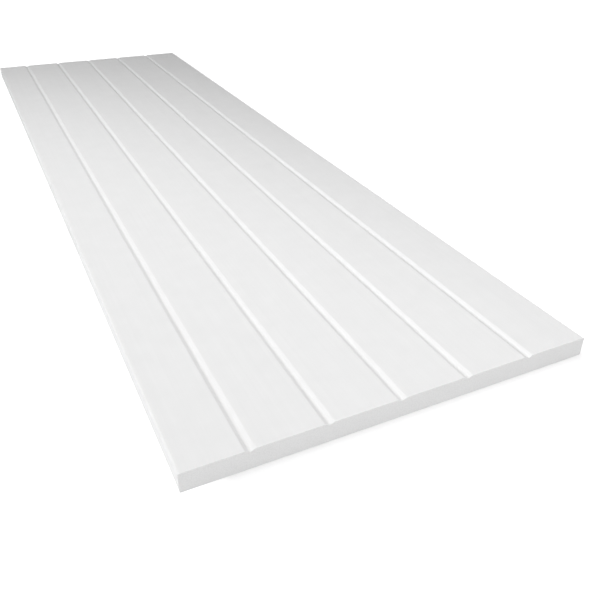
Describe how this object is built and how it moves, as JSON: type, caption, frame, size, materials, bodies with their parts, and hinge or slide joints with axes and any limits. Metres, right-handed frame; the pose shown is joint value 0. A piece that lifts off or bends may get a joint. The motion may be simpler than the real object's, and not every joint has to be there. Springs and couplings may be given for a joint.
{
  "type": "grooved polystyrene ceiling board",
  "caption": "Rigid foam ceiling board with soft vee grooves along its face, which make it look planked, and a plain flat back.",
  "frame": {"origin": "middle of the plain back face, which the board lies on", "axes": "+X across the board, from the long edge with the narrow first plank, +Y along the board, +Z through the thickness towards the grooved face"},
  "size_m": [0.6, 2, 0.03],
  "materials": {
    "foam": "smooth matt skin of extruded polystyrene foam"
  },
  "bodies": {
    "root": {"grooved_board": "foam"}
  },
  "joints": []
}
